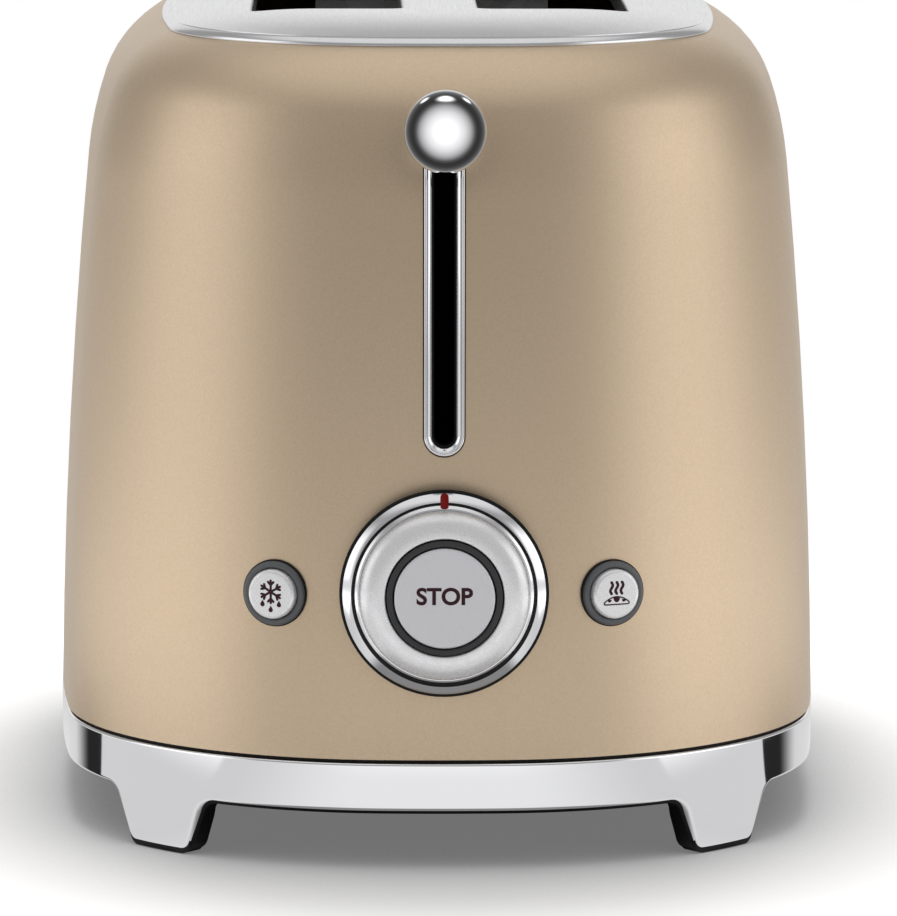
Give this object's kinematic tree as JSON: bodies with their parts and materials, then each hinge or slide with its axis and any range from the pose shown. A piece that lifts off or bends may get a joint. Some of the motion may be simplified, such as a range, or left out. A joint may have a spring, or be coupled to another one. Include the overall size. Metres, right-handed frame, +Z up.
{
  "type": "pop up toaster",
  "caption": "Rounded retro toaster with bread slots in a polished top, a ball lever on its end face, a browning dial with a stop key, push buttons, a plated base ring on feet and a crumb tray.",
  "frame": {"origin": "on the worktop under the middle of the base ring", "axes": "+Z up, -Y towards the end with the lever and the dial, +X to the right as that end is faced"},
  "size_m": [0.191, 0.3187, 0.2],
  "materials": {
    "shell_paint": "satin metallic paint",
    "plated_trim": "bright plated",
    "polished_steel": "polished stainless steel",
    "sheet_steel": "galvanised sheet",
    "bright_wire": "nickel plated wire",
    "black_plastic": "moulded, fine texture",
    "charcoal_plastic": "satin moulded",
    "silver_cap": "silver lacquered",
    "pointer_red": "gloss moulded",
    "foot_rubber": "matte",
    "mica": "pressed mica sheet",
    "heating_alloy": "oxidised ribbon",
    "circuit_board": "green solder resist",
    "copper_winding": "enamelled copper",
    "screw_steel": "zinc plated"
  },
  "bodies": {
    "housing": {"body_shell": "shell_paint", "top_plate": "polished_steel", "base_ring": "plated_trim", "foot_pads": "foot_rubber", "base_seal": "foot_rubber", "base_pan": "black_plastic", "pan_screws": "screw_steel", "chassis_screws": "screw_steel", "cord_wrap": "black_plastic", "cord_gland": "foot_rubber", "front_end_plate": "sheet_steel", "rear_end_plate": "sheet_steel", "left_reflector": "sheet_steel", "right_reflector": "sheet_steel", "left_outer_heater_card": "mica", "left_inner_heater_card": "mica", "right_outer_heater_card": "mica", "right_inner_heater_card": "mica", "left_outer_ribbon": "heating_alloy", "left_inner_ribbon": "heating_alloy", "right_outer_ribbon": "heating_alloy", "right_inner_ribbon": "heating_alloy", "guide_rods": "bright_wire", "rod_bracket": "sheet_steel", "lift_spring": "bright_wire", "magnet_core": "screw_steel", "magnet_coil": "copper_winding", "control_carrier": "black_plastic", "control_board": "circuit_board", "browning_potentiometer": "black_plastic", "stop_switch": "black_plastic", "defrost_switch": "black_plastic", "reheat_switch": "black_plastic", "lever_bezel": "plated_trim", "slot_liner": "black_plastic", "dial_seat": "black_plastic", "stop_sleeve": "charcoal_plastic", "defrost_bezel": "charcoal_plastic", "reheat_bezel": "charcoal_plastic"},
    "carriage": {"carriage_slider": "sheet_steel", "lever_stem": "bright_wire", "lever_ball": "plated_trim", "latch_armature": "screw_steel", "left_bread_rack": "bright_wire", "right_bread_rack": "bright_wire"},
    "dial": {"dial_skirt": "plated_trim", "dial_cap": "silver_cap", "dial_pointer": "pointer_red"},
    "stop_key": {"stop_button": "silver_cap"},
    "defrost_key": {"defrost_button": "silver_cap"},
    "reheat_key": {"reheat_button": "silver_cap"},
    "tray": {"crumb_tray": "sheet_steel", "tray_pull": "plated_trim"},
    "left_outer_guide": {"left_outer_guard": "bright_wire"},
    "left_inner_guide": {"left_inner_guard": "bright_wire"},
    "right_inner_guide": {"right_inner_guard": "bright_wire"},
    "right_outer_guide": {"right_outer_guard": "bright_wire"}
  },
  "joints": [
    {"name": "lever_slide", "type": "slide", "parent": "housing", "child": "carriage", "axis": [0, 0, -1], "range_m": [0, 0.072], "stiffness_N_per_m": 40, "springref_m": -0.15, "deforming": ["lift_spring"]},
    {"name": "dial_turn", "type": "hinge", "parent": "housing", "child": "dial", "pos_m": [0, -0.1419, 0.0668], "axis": [0, 1, 0], "range_deg": [-135, 135]},
    {"name": "stop_press", "type": "slide", "parent": "housing", "child": "stop_key", "axis": [0, 1, 0], "range_m": [0, 0.002], "stiffness_N_per_m": 600, "springref_m": -0.002},
    {"name": "defrost_press", "type": "slide", "parent": "housing", "child": "defrost_key", "axis": [0.3665, 0.9304, 0], "range_m": [0, 0.0016], "stiffness_N_per_m": 600, "springref_m": -0.002},
    {"name": "reheat_press", "type": "slide", "parent": "housing", "child": "reheat_key", "axis": [-0.3665, 0.9304, 0], "range_m": [0, 0.0016], "stiffness_N_per_m": 600, "springref_m": -0.002},
    {"name": "tray_slide", "type": "slide", "parent": "housing", "child": "tray", "axis": [0, 1, 0], "range_m": [0, 0.21]},
    {"name": "left_outer_guard_slide", "type": "slide", "parent": "housing", "child": "left_outer_guide", "axis": [1, 0, 0], "range_m": [0, 0.007]},
    {"name": "left_inner_guard_slide", "type": "slide", "parent": "housing", "child": "left_inner_guide", "axis": [-1, 0, 0], "range_m": [0, 0.007]},
    {"name": "right_inner_guard_slide", "type": "slide", "parent": "housing", "child": "right_inner_guide", "axis": [1, 0, 0], "range_m": [0, 0.007]},
    {"name": "right_outer_guard_slide", "type": "slide", "parent": "housing", "child": "right_outer_guide", "axis": [-1, 0, 0], "range_m": [0, 0.007]}
  ],
  "couplings": [
    {"joint": "left_outer_guard_slide", "follows": "lever_slide", "ratio": 0.097222},
    {"joint": "left_inner_guard_slide", "follows": "lever_slide", "ratio": 0.097222},
    {"joint": "right_inner_guard_slide", "follows": "lever_slide", "ratio": 0.097222},
    {"joint": "right_outer_guard_slide", "follows": "lever_slide", "ratio": 0.097222}
  ]
}
